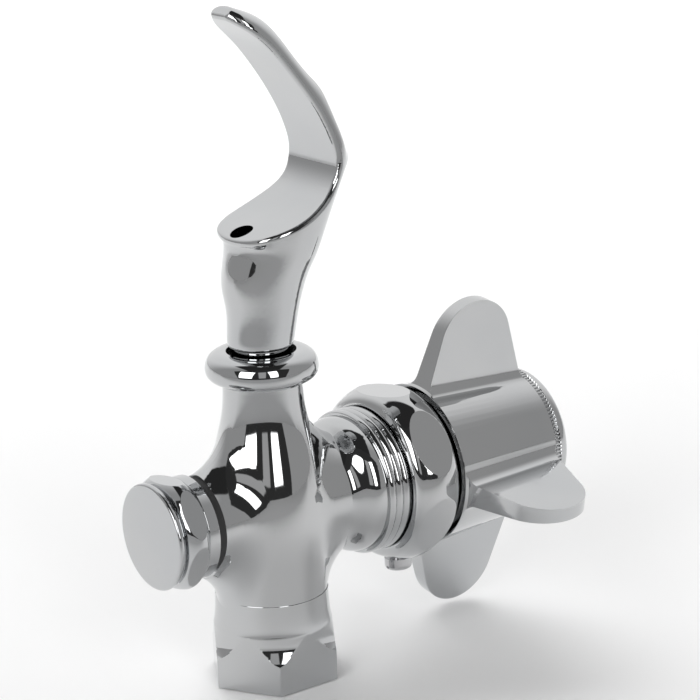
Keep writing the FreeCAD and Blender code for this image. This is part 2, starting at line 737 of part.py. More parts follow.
def ring_torus(label, along, ring_radius, section_radius):
    """An O-ring on the valve's axis, with its centre at a bound place along X."""
    torus = doc.addObject("Part::Torus", label)
    torus.Label = label
    bind(torus, "Radius1", ring_radius)
    bind(torus, "Radius2", section_radius)
    torus.Placement = Placement(Vector(), Rotation(Vector(0, 1, 0), 90))
    bind(torus, "Placement.Base.x", along)
    bind(torus, "Placement.Base.z", axis_height)
    parts.append(torus)
    return torus


def make_regulator_ring():
    section = regulator_ring_section / 2 - running_clearance
    centre = (regulator_inset - left_boss_end + regulator_ring_place + regulator_ring_section / 2
              + running_clearance * 2)
    ring_torus("regulator_ring", centre,
               regulator_bore_radius - running_clearance - regulator_ring_section + section
               + running_clearance, section)


# Valve seat: a screwed-in ring with a raised rim for the washer
def make_valve_seat():
    body = new_body("valve_seat")
    back = chamber_floor - seat_wall
    flange = chamber_floor + seat_flange_thickness
    turn(body, "seat_ring", [
        (back, orifice_radius), (back, seat_thread_radius - thread_clearance),
        (chamber_floor, seat_thread_radius - thread_clearance), (chamber_floor, seat_flange_radius),
        (flange, seat_flange_radius), (flange, orifice_radius + seat_rim_width),
        (flange + seat_rim_height, orifice_radius + seat_rim_width),
        (flange + seat_rim_height, orifice_radius)])
    on_valve_axis(body)


washer_face = chamber_floor + seat_flange_thickness + seat_rim_height


def make_seat_washer():
    body = new_body("seat_washer")
    turn(body, "washer_ring", rectangle(
        washer_face, washer_face + washer_thickness,
        washer_screw_radius + running_clearance, washer_radius))
    on_valve_axis(body)


def make_stem():
    body = new_body("stem")
    cup = washer_face + washer_thickness / 4
    floor = washer_face + washer_thickness
    back = floor + holder_floor
    bore_end = floor + washer_screw_length - washer_thickness + drop_in_clearance
    turn(body, "stem_turning", [
        (cup, washer_radius + running_clearance), (cup, holder_radius), (back, holder_radius),
        (back, stem_radius), (back + stem_length, stem_radius), (back + stem_length, 0),
        (bore_end, 0), (bore_end, washer_screw_radius + thread_clearance),
        (floor, washer_screw_radius + thread_clearance), (floor, washer_radius + running_clearance)])
    on_valve_axis(body)


stem_back = washer_face + washer_thickness + holder_floor


def make_washer_screw():
    body = new_body("washer_screw")
    end = washer_face + washer_screw_length
    head = washer_face - washer_screw_head_height
    turn(body, "washer_screw_turning", [
        (head, 0), (head, washer_screw_head_radius), (washer_face, washer_screw_head_radius),
        (washer_face, washer_screw_radius), (end, washer_screw_radius), (end, 0)])
    slot(body, "washer_screw_slot", "YZ_Plane", head, washer_screw_head_radius,
         washer_screw_slot_width, washer_screw_head_height / 2, flipped=True)
    on_valve_axis(body)


# Return spring: it presses the washer on its seat when the handle is let go
def make_return_spring():
    wire = spring_wire_radius.value
    start = stem_back.value + wire + running_clearance.value
    end = spindle_collar_start.value - wire - running_clearance.value
    pitch = (end - start) / spring_turns.value
    coil = spring_coil_radius.value
    helix = Part.makeHelix(pitch, end - start, coil)
    section = Part.Wire(Part.makeCircle(wire, Vector(coil, 0, 0), Vector(0, 1, 0)))
    spring = Part.Wire(helix.Edges).makePipeShell([section], True, True)
    along_valve = Placement(Vector(start, 0, axis_height.value), Rotation(Vector(0, 1, 0), 90))
    add_shape("return_spring", spring, along_valve)


# Bonnet: the sleeve that carries the spindle
def make_bonnet():
    body = new_body("bonnet")
    sleeve = chamber_radius - thread_clearance
    flange_left = right_boss_end + bonnet_gasket_thickness
    flange_right = flange_left + bonnet_flange_thickness
    collar_end = nut_end + closing_ring_thickness
    web = spindle_collar_start + spindle_collar_thickness + running_clearance
    packing_end = bonnet_neck_end - gland_thread_length - packing_length
    shaft_bore = spindle_radius + running_clearance
    turn(body, "bonnet_turning", [
        (bonnet_tip, bonnet_bore_radius), (bonnet_tip, sleeve), (flange_left, sleeve),
        (flange_left, bonnet_flange_radius), (flange_right, bonnet_flange_radius),
        (flange_right, bonnet_collar_radius), (collar_end, bonnet_collar_radius),
        (collar_end, bonnet_neck_radius), (bonnet_neck_end, bonnet_neck_radius),
        (bonnet_neck_end, packing_radius + thread_clearance),
        (packing_end, packing_radius + thread_clearance), (packing_end, shaft_bore),
        (web, shaft_bore), (web, bonnet_bore_radius)])
    on_valve_axis(body)


def make_bonnet_gasket():
    body = new_body("bonnet_gasket")
    turn(body, "bonnet_gasket_ring", rectangle(
        right_boss_end, right_boss_end + bonnet_gasket_thickness,
        chamber_radius + thread_clearance, bonnet_flange_radius))
    on_valve_axis(body)


def make_bonnet_nut():
    body = new_body("bonnet_nut")
    shoulder = right_boss_end + bonnet_gasket_thickness + bonnet_flange_thickness
    pad(body, "nut_hex", "YZ_Plane", nut_start, hexagon(nut_across_flats, -nut_turn),
        nut_end - nut_start)
    reach = nut_across_flats * 0.6
    turn(body, "nut_right_chamfer", [
        (nut_end, nut_chamfer_radius), (nut_end, reach),
        (nut_end - (reach - nut_chamfer_radius) * nut_chamfer_slope, reach)], cut=True)
    turn(body, "nut_left_chamfer", [
        (nut_start, nut_chamfer_radius), (nut_start, reach),
        (nut_start + (reach - nut_chamfer_radius) * nut_chamfer_slope, reach)], cut=True)
    turn(body, "nut_bore", [
        (nut_start, 0), (nut_start, body_thread_radius + thread_clearance),
        (shoulder, body_thread_radius + thread_clearance),
        (shoulder, bonnet_collar_radius + thread_clearance),
        (nut_end, bonnet_collar_radius + thread_clearance), (nut_end, 0)], cut=True)
    # The set screw's hole runs through the facet that faces down
    doc.recompute()
    hole = drill(body, "set_screw_hole", "XY_Plane", None, (set_screw_offset, 0),
                 set_screw_shank_radius + thread_clearance, nut_across_flats)
    hole.Profile[0].AttachmentOffset = Placement(Vector(), Rotation(Vector(1, 0, 0), -nut_turn.value))
    on_valve_axis(body)


def make_nut_set_screw():
    body = new_body("nut_set_screw")
    facet = nut_across_flats / 2
    head_start = facet + set_screw_gap
    tip = facet - set_screw_depth
    turn(body, "set_screw_turning", [
        (0, -tip), (set_screw_shank_radius, -tip), (set_screw_shank_radius, -head_start),
        (set_screw_head_radius, -head_start),
        (set_screw_head_radius, -head_start - set_screw_head_height),
        (0, -head_start - set_screw_head_height)], axis="Z")
    round_edges(body, "set_screw_dome", set_screw_slot_depth,
                lambda edge: is_ring(edge, "z", -(head_start + set_screw_head_height).value,
                                     set_screw_head_radius.value))
    slot(body, "set_screw_slot", "XY_Plane", -head_start - set_screw_head_height,
         set_screw_head_radius, set_screw_slot_width, set_screw_slot_depth, flipped=True)
    body.Placement = Placement(Vector(), Rotation(Vector(1, 0, 0), -nut_turn.value))
    bind(body, "Placement.Base.x", set_screw_offset)
    on_valve_axis(body)


def make_closing_ring():
    body = new_body("closing_ring")
    turn(body, "closing_ring_washer", rectangle(
        nut_end, nut_end + closing_ring_thickness, bonnet_collar_radius + thread_clearance,
        closing_ring_radius))
    on_valve_axis(body)


# Spindle: it turns with the handle and draws the stem back by its quick inner thread
def make_spindle():
    body = new_body("spindle")
    collar_end = spindle_collar_start + spindle_collar_thickness
    shaft_end = hub_web_start - drop_in_clearance
    bore = stem_radius + running_clearance
    bore_end = stem_back + stem_length + valve_lift + drop_in_clearance * 3
    turn(body, "spindle_turning", [
        (spindle_collar_start, bore), (spindle_collar_start, spindle_collar_radius),
        (collar_end, spindle_collar_radius), (collar_end, spindle_radius),
        (shaft_end, spindle_radius), (shaft_end, 0), (bore_end, 0), (bore_end, bore)])
    half = spindle_square / 2
    square_end = hub_web_start + hub_web_thickness - drop_in_clearance
    pad(body, "spindle_square", "YZ_Plane", shaft_end, rectangle(-half, half, -half, half),
        square_end - shaft_end)
    turn(body, "screw_hole", rectangle(
        square_end - screw_shank_length - drop_in_clearance, square_end, 0,
        screw_shank_radius + thread_clearance), cut=True)
    turn_with_handle(body)


def turn_with_handle(body):
    """Set a sub-part at the angle that the handle rests at."""
    body.Placement = Placement(Vector(), Rotation(Vector(1, 0, 0), handle_turn.value))
    on_valve_axis(body)


def make_stem_packing():
    body = new_body("stem_packing")
    end = bonnet_neck_end - gland_thread_length
    turn(body, "packing_ring", rectangle(
        end - packing_length, end, spindle_radius + running_clearance, packing_radius))
    on_valve_axis(body)


def make_packing_gland():
    body = new_body("packing_gland")
    bore = spindle_radius + running_clearance
    start = bonnet_neck_end - gland_thread_length
    end = bonnet_neck_end + gland_head_length
    pad(body, "gland_head", "YZ_Plane", bonnet_neck_end, hexagon(gland_across_flats, 0),
        gland_head_length)
    turn(body, "gland_thread", rectangle(start, bonnet_neck_end, bore, packing_radius))
    turn(body, "gland_bore", rectangle(start, end, 0, bore), cut=True)
    on_valve_axis(body)


# Handle: one casting, a tapered hub with four flat wings
def make_handle():
    body = new_body("handle")
    turn(body, "hub", [
        (hub_start, 0), (hub_start, hub_left_radius), (hub_end, hub_right_radius), (hub_end, 0)])
    wing = wing_feature(body)
    pattern = body.newObject("PartDesign::PolarPattern", "wings")
    pattern.Originals = [wing]
    pattern.Axis = (origin_feature(body, "X_Axis"), [""])
    pattern.Angle = 360
    pattern.Occurrences = 4
    body.Tip = pattern
    doc.recompute()
    half = wing_thickness.value / 2
    reach = hub_left_radius.value

    def borders_wing(edge):
        box = edge.BoundBox
        middle = edge.CenterOfMass
        outside = math.hypot(middle.y, middle.z) > reach + 1
        flat = min(box.YLength, box.ZLength) < 0.01
        return outside and flat and abs(min(abs(middle.y), abs(middle.z)) - half) < 0.01

    round_edges(body, "wing_edges", wing_edge_rounding, borders_wing)
    web_end = hub_web_start + hub_web_thickness
    turn(body, "hub_recess", rectangle(hub_start, hub_web_start, 0, hub_recess_radius), cut=True)
    turn(body, "screw_recess", rectangle(web_end, hub_end, 0, hub_screw_recess_radius), cut=True)
    half_hole = spindle_square / 2 + running_clearance
    pad(body, "square_hole", "YZ_Plane", hub_web_start,
        rectangle(-half_hole, half_hole, -half_hole, half_hole), hub_web_thickness, cut=True,
        flipped=True)
    turn_with_handle(body)


def wing_feature(body):
    """One wing: straight flanks that lean in to a round tip."""
    sketch = new_sketch(body, "wing_outline", "XZ_Plane")
    left = wing_centre - wing_root_half_width
    right = wing_centre + wing_root_half_width
    tip_height = wing_reach - wing_tip_radius
    centre = Vector(wing_centre.value, tip_height.value, 0)
    radius = wing_tip_radius.value
    root = wing_root_radius.value
    run = math.hypot(wing_root_half_width.value, tip_height.value - root)
    spread = math.acos(radius / run) - math.atan2(
        tip_height.value - root, wing_root_half_width.value)
    touch_right = centre + Vector(radius * math.cos(spread), radius * math.sin(spread), 0)
    touch_left = centre + Vector(-radius * math.cos(spread), radius * math.sin(spread), 0)
    arc = Part.ArcOfCircle(Part.Circle(centre, Vector(0, 0, 1), radius), spread, math.pi - spread)
    sketch.addGeometry([
        Part.LineSegment(Vector(left.value, root, 0), Vector(right.value, root, 0)),
        Part.LineSegment(Vector(right.value, root, 0), touch_right),
        arc,
        Part.LineSegment(touch_left, Vector(left.value, root, 0))], False)
    sketch.addConstraint(Sketcher.Constraint("Coincident", 0, 2, 1, 1))
    sketch.addConstraint(Sketcher.Constraint("Coincident", 3, 2, 0, 1))
    sketch.addConstraint(Sketcher.Constraint("Tangent", 1, 2, 2, 1))
    sketch.addConstraint(Sketcher.Constraint("Tangent", 2, 2, 3, 1))
    fix_point(sketch, 0, 1, (left, wing_root_radius))
    fix_point(sketch, 0, 2, (right, wing_root_radius))
    fix_point(sketch, 2, 3, (wing_centre, tip_height))
    index = sketch.addConstraint(Sketcher.Constraint("Radius", 2, radius))
    sketch.setExpression(f"Constraints[{index}]", wing_tip_radius.text)
    wing = body.newObject("PartDesign::Pad", "wing")
    wing.Profile = sketch
    bind(wing, "Length", wing_thickness)
    wing.Midplane = True
    return wing


def make_handle_screw():
    body = new_body("handle_screw")
    seat = hub_web_start + hub_web_thickness
    head = seat + screw_head_height
    turn(body, "handle_screw_turning", [
        (seat - screw_shank_length, 0), (seat - screw_shank_length, screw_shank_radius),
        (seat, screw_shank_radius), (seat, screw_head_radius), (head, screw_head_radius), (head, 0)])
    round_edges(body, "handle_screw_head", screw_slot_depth,
                lambda edge: is_ring(edge, "x", head.value, screw_head_radius.value))
    slot(body, "handle_screw_slot", "YZ_Plane", head, screw_head_radius, screw_slot_width,
         screw_slot_depth)
    turn_with_handle(body)


# Index cap: a pressed button with a knurled rim that snaps into the hub
def make_index_cap():
    body = new_body("index_cap")
    skirt = hub_screw_recess_radius - running_clearance
    inner = skirt - index_wall
    rim_end = hub_end + index_rim_width
    face = hub_end + index_height
    turn(body, "index_turning", [
        (hub_end - index_skirt_depth, inner), (hub_end - index_skirt_depth, skirt),
        (hub_end, skirt), (hub_end, index_rim_radius), (rim_end, index_rim_radius),
        (rim_end, index_body_radius), (face, index_body_radius), (face, 0),
        (face - index_wall, 0), (face - index_wall, inner)])
    round_edges(body, "index_dome", index_edge_rounding,
                lambda edge: is_ring(edge, "x", face.value, index_body_radius.value))
    doc.recompute()
    notch_floor = index_rim_radius - knurl_depth
    notch = pad(body, "knurl_notch", "YZ_Plane", hub_end, [
        (notch_floor, 0), (index_rim_radius + knurl_depth, -knurl_depth * 2),
        (index_rim_radius + knurl_depth, knurl_depth * 2)], index_rim_width, cut=True, flipped=True)
    doc.recompute()
    pattern = body.newObject("PartDesign::PolarPattern", "knurl")
    pattern.Originals = [notch]
    pattern.Axis = (origin_feature(body, "X_Axis"), [""])
    pattern.Angle = 360
    bind(pattern, "Occurrences", knurl_count)
    body.Tip = pattern
    turn_with_handle(body)


# Nozzle seal: a rubber ring round the spigot, in the collar's socket
def make_nozzle_seal():
    body = new_body("nozzle_seal")
    floor = collar_top - socket_depth
    turn(body, "seal_ring", [
        (spigot_radius + running_clearance, floor + drop_in_clearance * 2),
        (socket_radius - running_clearance, floor + drop_in_clearance * 2),
        (socket_radius - running_clearance, floor + nozzle_seal_height),
        (spigot_radius + running_clearance, floor + nozzle_seal_height)], axis="Z")
    parts.append(body)


make_valve_body()
make_nozzle()
make_nozzle_seal()
make_regulator_cap()
make_cap_gasket()
make_regulator_screw()
make_regulator_ring()
make_valve_seat()
make_seat_washer()
make_stem()
make_washer_screw()
make_return_spring()
make_bonnet()
make_bonnet_gasket()
make_bonnet_nut()
make_nut_set_screw()
make_closing_ring()
make_spindle()
make_stem_packing()
make_packing_gland()
make_handle()
make_handle_screw()
make_index_cap()

doc.recompute()
faults = [f"{item.Name}: {item.State}" for item in doc.Objects
          if "Invalid" in item.State or "Error" in item.State]
faults += [f"{item.Label}: bad shape" for item in parts
           if item.Shape.isNull() or not item.Shape.isValid() or not item.Shape.Solids]
if faults:
    raise RuntimeError("; ".join(faults))

os.makedirs("parts", exist_ok=True)
for item in parts:
    item.Shape.exportStep(f"parts/{item.Label}.step")
    box = item.Shape.BoundBox
    print(f"{item.Label}: {len(item.Shape.Solids)} solid, {item.Shape.Volume:.0f} mm3, "
          f"x {box.XMin:.1f}..{box.XMax:.1f}, y {box.YMin:.1f}..{box.YMax:.1f}, "
          f"z {box.ZMin:.1f}..{box.ZMax:.1f}")
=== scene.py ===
"""A drinking fountain tap in chromed brass, dressed for a soft studio picture.

Every length is in metres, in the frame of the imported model: the origin is the centre of the
inlet's mouth, +Z runs up and +X runs along the valve to the handle.
"""
import logging
import math
from dataclasses import dataclass
from enum import Enum
from typing import Iterable, Union

import bpy
from mathutils import Matrix, Vector


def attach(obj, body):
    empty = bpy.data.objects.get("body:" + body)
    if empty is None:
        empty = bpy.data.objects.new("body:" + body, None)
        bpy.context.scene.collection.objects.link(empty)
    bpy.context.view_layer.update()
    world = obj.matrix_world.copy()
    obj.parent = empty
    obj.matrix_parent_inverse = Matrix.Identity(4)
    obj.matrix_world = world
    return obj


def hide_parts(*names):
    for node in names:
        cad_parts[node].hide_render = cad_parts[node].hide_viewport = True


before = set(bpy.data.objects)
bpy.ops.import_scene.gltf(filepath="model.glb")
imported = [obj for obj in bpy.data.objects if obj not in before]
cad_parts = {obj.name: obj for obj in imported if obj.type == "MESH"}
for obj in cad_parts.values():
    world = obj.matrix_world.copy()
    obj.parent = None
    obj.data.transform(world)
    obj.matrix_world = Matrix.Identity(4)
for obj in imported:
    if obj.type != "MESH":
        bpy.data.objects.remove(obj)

log = logging.getLogger("tap")
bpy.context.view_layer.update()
Colour = tuple[float, float, float]
Point = tuple[float, float]
Number = Union[float, "Socket"]
MM = 0.001
AXIS_HEIGHT = 33.0
# A radius so small that a pole's points merge into one
ON_AXIS = 0.001


class Wear(Enum):
    """How much handling a surface has had."""

    NEW = 0.0
    LIGHT = 0.5
    HANDLED = 1.0


class Socket:
    """One shader value, with arithmetic that adds Math nodes."""

    def __init__(self, sheet: "NodeSheet", link: bpy.types.NodeSocket) -> None:
        """Wrap an output socket.

        Args:
            sheet: the node sheet that the socket is on.
            link: the output socket.
        """
        self.sheet = sheet
        self.link = link

    def _math(self, operation: str, first: Number, second: Number) -> "Socket":
        """Add a Math node and return its value."""
        return self.sheet.add("ShaderNodeMath", {"operation": operation}, {0: first, 1: second})

    def __add__(self, other: Number) -> "Socket":
        """Add."""
        return self._math("ADD", self, other)

    __radd__ = __add__

    def __sub__(self, other: Number) -> "Socket":
        """Subtract."""
        return self._math("SUBTRACT", self, other)

    def __rsub__(self, other: Number) -> "Socket":
        """Subtract this from a value."""
        return self._math("SUBTRACT", other, self)

    def __mul__(self, other: Number) -> "Socket":
        """Multiply."""
        return self._math("MULTIPLY", self, other)

    __rmul__ = __mul__

    def __truediv__(self, other: Number) -> "Socket":
        """Divide."""
        return self._math("DIVIDE", self, other)

    def stepped(self, low: float, high: float) -> "Socket":
        """Return 0 below a value, 1 above another, and a smooth rise between them.

        Args:
            low: where the rise begins.
            high: where it ends.
        """
        settings = {"interpolation_type": "SMOOTHSTEP"}
        return self.sheet.add("ShaderNodeMapRange", settings, {0: self, 1: low, 2: high})


class NodeSheet:
    """A material's or a world's nodes, made by one method."""

    def __init__(self, tree: bpy.types.NodeTree) -> None:
        """Clear a node tree and keep it.

        Args:
            tree: the tree that the nodes go on.
        """
        self.tree = tree
        tree.nodes.clear()

    def add(self, kind: str, settings: dict, inputs: dict, output: Union[int, str] = 0) -> Socket:
        """Add a node.

        Args:
            kind: the node's type.
            settings: its properties, set first.
            inputs: values or links for its sockets, by index or name.
            output: which output to return.

        Returns:
            The chosen output.
        """
        node = self.tree.nodes.new(kind)
        for name, value in settings.items():
            setattr(node, name, value)
        for key, value in inputs.items():
            if isinstance(value, Socket):
                self.tree.links.new(value.link, node.inputs[key])
            else:
                node.inputs[key].default_value = value
        return Socket(self, node.outputs[output]) if node.outputs else Socket(self, None)

    def place(self) -> Socket:
        """Return the point's place in the object's own frame."""
        return self.add("ShaderNodeTexCoord", {}, {}, "Object")

    def noise(self, scale: float, detail: float = 2.0, at: Socket | None = None) -> Socket:
        """Return a noise value between 0 and 1.

        Args:
            scale: how many lumps lie in a metre.
            detail: how many finer layers lie on it.
            at: the place that it is read at.
        """
        inputs = {"Vector": at or self.place(), "Scale": scale, "Detail": detail}
        return self.add("ShaderNodeTexNoise", {}, inputs, "Fac")

    def blend(self, share: Number, first: Union[Colour, Socket], second: Union[Colour, Socket]) -> Socket:
        """Mix two colours.

        Args:
            share: how much of the second colour shows.
            first: the first colour.
            second: the second colour.
        """
        colours = [value if isinstance(value, Socket) else (*value, 1.0) for value in (first, second)]
        settings = {"data_type": "RGBA"}
        return self.add("ShaderNodeMix", settings, {0: share, 6: colours[0], 7: colours[1]}, 2)

    def bump(self, height: Socket, strength: float, distance: float) -> Socket:
        """Return a normal that a height disturbs."""
        inputs = {"Strength": strength, "Distance": distance, "Height": height}
        return self.add("ShaderNodeBump", {}, inputs, "Normal")


@dataclass(frozen=True)
class Finish:
    """One surface finish, painted on a new material."""

    name: str
    colour: Colour
    tint: Colour
    roughness: float
    spread: float = 0.03
    metallic: float = 1.0
    grain: float = 900.0
    ripple: float = 0.05
    ripple_scale: float = 60.0
    drift_scale: float = 35.0
    smear_scale: float = 140.0
    grain_height: float = 0.02
    wear: Wear = Wear.NEW

    def make(self) -> bpy.types.Material:
        """Return the material: its colour drifts, and its gloss and its surface ripple a little."""
        material = bpy.data.materials.new(self.name)
        material.use_nodes = True
        sheet = NodeSheet(material.node_tree)
        drift = sheet.noise(self.drift_scale, 3.0)
        colour = sheet.blend(drift.stepped(0.35, 0.7), self.colour, self.tint)
        smear = sheet.noise(self.smear_scale, 4.0).stepped(0.45, 0.75)
        speck = sheet.noise(self.grain, 1.0).stepped(0.62, 0.8)
        smeared = smear * (self.spread * (0.5 + self.wear.value))
        gloss = smeared + speck * (self.spread * 0.5) + self.roughness
        height = sheet.noise(self.ripple_scale, 1.5) + sheet.noise(self.grain, 2.0) * self.grain_height
        inputs = {
            "Base Color": colour, "Roughness": gloss, "Metallic": self.metallic,
            "Normal": sheet.bump(height, self.ripple, MM)}
        shader = sheet.add("ShaderNodeBsdfPrincipled", {}, inputs)
        sheet.add("ShaderNodeOutputMaterial", {}, {"Surface": shader})
        return material


CHROME = Finish("polished_chrome", (0.55, 0.555, 0.56), (0.52, 0.53, 0.54), 0.035, wear=Wear.LIGHT)
HANDLE_CHROME = Finish(
    "handled_chrome", (0.55, 0.555, 0.56), (0.51, 0.52, 0.53), 0.05, 0.05, wear=Wear.HANDLED)
BRASS = Finish("turned_brass", (0.72, 0.5, 0.22), (0.6, 0.4, 0.17), 0.28, 0.08)
RUBBER = Finish("black_rubber", (0.02, 0.02, 0.021), (0.03, 0.03, 0.03), 0.55, 0.1, 0.0, ripple=0.2)
SPRING_STEEL = Finish("spring_steel", (0.5, 0.5, 0.5), (0.4, 0.4, 0.42), 0.22, 0.06)
SCREW_STEEL = Finish("plated_screw", (0.55, 0.55, 0.56), (0.45, 0.45, 0.46), 0.16, 0.06)
RING_STEEL = Finish("ring_steel", (0.5, 0.5, 0.5), (0.44, 0.44, 0.45), 0.14, 0.05)
PACKING = Finish("woven_packing", (0.75, 0.72, 0.64), (0.6, 0.57, 0.5), 0.7, 0.1, 0.0, ripple=0.5)
FINISH_OF_SLOT = {
    "chrome": CHROME, "brass": BRASS, "rubber": RUBBER, "spring_steel": SPRING_STEEL,
    "screw_steel": SCREW_STEEL, "ring_steel": RING_STEEL, "packing": PACKING}


def select_only(thing: bpy.types.Object) -> None:
    """Deselect everything, then select and activate one object."""
    bpy.ops.object.select_all(action="DESELECT")
    thing.select_set(True)
    bpy.context.view_layer.objects.active = thing


def arc(centre: Point, radius: float, first: float, last: float, steps: int = 8) -> list[Point]:
    """Return points on an arc of a profile.

    Args:
        centre: its centre, as (along, out).
        radius: its radius.
        first: the angle that it starts at, in degrees from the along direction.
        last: the angle that it ends at.
        steps: how many chords it has.
    """
    turns = [math.radians(first + (last - first) * i / steps) for i in range(steps + 1)]
    return [(centre[0] + radius * math.cos(turn), centre[1] + radius * math.sin(turn)) for turn in turns]


def bow(start: Point, pull: Point, end: Point, steps: int = 10) -> list[Point]:
    """Return points on a soft curve.

    Args:
        start: where it starts.
        pull: the place that it leaves towards and comes back from.
        end: where it ends.
        steps: how many chords it has.
    """
    shares = [i / steps for i in range(steps + 1)]
    return [tuple((1 - t) ** 2 * p + 2 * t * (1 - t) * q + t * t * r for p, q, r in zip(start, pull, end))
            for t in shares]


class Bench:
    """Makes and finishes meshes with Blender's own tools."""

    merge_gap = MM * 1e-3
    bevel_steps = 3
    smooth_beyond = 12.0
    normal_weight = 60

    @staticmethod
    def first_point(name: str, place: Vector) -> bpy.types.Object:
        """Start a mesh from one vertex and stay in edit mode.

        Args:
            name: the object's name.
            place: where the vertex is.
        """
        bpy.ops.object.select_all(action="DESELECT")
        bpy.ops.mesh.primitive_plane_add(size=MM, location=place)
        bpy.ops.object.transform_apply(location=True)
        piece = bpy.context.active_object
        piece.name = name
        bpy.ops.object.mode_set(mode="EDIT")
        bpy.ops.mesh.select_all(action="SELECT")
        bpy.ops.mesh.merge(type="CENTER")
        return piece

    @staticmethod
    def run_on(places: Iterable[Vector], last: Vector) -> None:
        """Extrude the selected vertex through places, the first one measured from last."""
        for place in places:
            bpy.ops.mesh.extrude_region_move(TRANSFORM_OT_translate={"value": place - last})
            last = place

    @classmethod
    def merge(cls) -> None:
        """Merge the points that lie on each other, and select everything."""
        bpy.ops.mesh.select_all(action="SELECT")
        bpy.ops.mesh.remove_doubles(threshold=cls.merge_gap)
        bpy.ops.mesh.select_all(action="SELECT")

    @classmethod
    def clean(cls) -> None:
        """Merge doubles, turn the faces outwards and leave edit mode."""
        cls.merge()
        bpy.ops.mesh.normals_make_consistent(inside=False)
        bpy.ops.object.mode_set(mode="OBJECT")

    @classmethod
    def turned(cls, name: str, profile: list[Point], upright: bool = False, segments: int = 144
               ) -> bpy.types.Object:
        """Spin a closed profile into a ring or a solid.

        Args:
            name: the object's name.
            profile: places in millimetres, (along X, radius) or for an upright one (radius, height).
            upright: whether it is spun about Z, and not about the valve's axis.
            segments: how many steps the spin has.
        """
        if upright:
            places = [Vector((radius, 0, height)) * MM for radius, height in profile]
            centre, axis = Vector(), (0, 0, 1)
        else:
            places = [Vector((along, 0, AXIS_HEIGHT + radius)) * MM for along, radius in profile]
            centre, axis = Vector((0, 0, AXIS_HEIGHT * MM)), (1, 0, 0)
        piece = cls.first_point(name, places[0])
        cls.run_on([*places[1:], places[0]], places[0])
        bpy.ops.mesh.select_all(action="SELECT")
        bpy.ops.mesh.spin(steps=segments, angle=2 * math.pi, center=centre, axis=axis)
        cls.clean()
        return piece

    @staticmethod
    def apply(piece: bpy.types.Object, kind: str, **settings: object) -> None:
        """Add a modifier, set it and apply it."""
        select_only(piece)
        modifier = piece.modifiers.new(kind.lower(), kind)
        for name, value in settings.items():
            setattr(modifier, name, value)
        bpy.ops.object.modifier_apply(modifier=modifier.name)

    @classmethod
    def keep_common(cls, piece: bpy.types.Object, other: bpy.types.Object) -> None:
        """Keep only what a piece shares with another, which is used up."""
        cls.apply(piece, "BOOLEAN", operation="INTERSECT", object=other, solver="EXACT")
        bpy.data.objects.remove(other)

    @classmethod
    def finish(cls, piece: bpy.types.Object, edge: float = 0.0, sharp: float = 18.0) -> None:
        """Soften the sharp edges, then smooth the shading.

        Args:
            piece: the object.
            edge: the width of the softened edges in millimetres.
            sharp: edges that turn by more degrees than this count as sharp.
        """
        if edge:
            cls.apply(piece, "BEVEL", width=edge * MM, segments=cls.bevel_steps, limit_method="ANGLE",
                      angle_limit=math.radians(sharp), use_clamp_overlap=True)
        select_only(piece)
        bpy.ops.object.shade_smooth_by_angle(angle=math.radians(sharp + cls.smooth_beyond))
        cls.apply(piece, "WEIGHTED_NORMAL", keep_sharp=True, weight=cls.normal_weight)

    @staticmethod
    def hexagonal(across_flats: float, start: float, end: float, turn: float, upright: bool
                  ) -> bpy.types.Object:
        """Add a hexagonal bar as a cutter.

        Args:
            across_flats: its size in millimetres.
            start: where it begins, along X or Z.
            end: where it ends.
            turn: how far it is turned about its axis, in degrees.
            upright: whether it stands along Z.
        """
        middle = (start + end) / 2
        place = Vector((0, 0, middle) if upright else (middle, 0, AXIS_HEIGHT)) * MM
        bpy.ops.object.select_all(action="DESELECT")
        bpy.ops.mesh.primitive_cylinder_add(
            vertices=6, radius=across_flats / math.sqrt(3) * MM, depth=(end - start) * MM)
        bar = bpy.context.active_object
        about = Matrix.Rotation(math.radians(turn), 4, "Z")
        if not upright:
            about = Matrix.Rotation(math.pi / 2, 4, "Y") @ about
        bar.data.transform(Matrix.Translation(place) @ about)
        return bar


@dataclass
class Castings:
    """The CAD nodes that show as they are, each with its finish."""

    handled: tuple[str, ...] = ("handle", "index_cap")

    def dress(self) -> dict[str, bpy.types.Material]:
        """Give every node the finish of its material slot.

        Returns:
            The materials by their names.
        """
        made: dict[str, bpy.types.Material] = {}
        for name, node in sorted(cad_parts.items()):
            slot = node.data.materials[0].name.split(".")[0]
            finish = HANDLE_CHROME if name in self.handled else FINISH_OF_SLOT[slot]
            if finish.name not in made:
                made[finish.name] = finish.make()
            for i in range(len(node.data.materials)):
                node.data.materials[i] = made[finish.name]
            log.info("dressed %s in %s", name, finish.name)
        return made


@dataclass
class Piece:
    """What every dressed piece has: a body that carries it, and a slot name, which nothing reads."""

    body: str = "tap"
    slot: str = "chrome"

    def hand_over(self, piece: bpy.types.Object, finish: bpy.types.Material, *nodes: str) -> None:
        """Dress a piece, hang it on its body, and hide the CAD nodes that it stands for.

        Args:
            piece: the object.
            finish: its material.
            nodes: the CAD nodes that it stands for.
        """
        piece.data.materials.clear()
        piece.data.materials.append(finish)
        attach(piece, self.body)
        if nodes:
            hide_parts(*nodes)
        log.info("%s: %d faces, on %s", piece.name, len(piece.data.polygons), self.body)


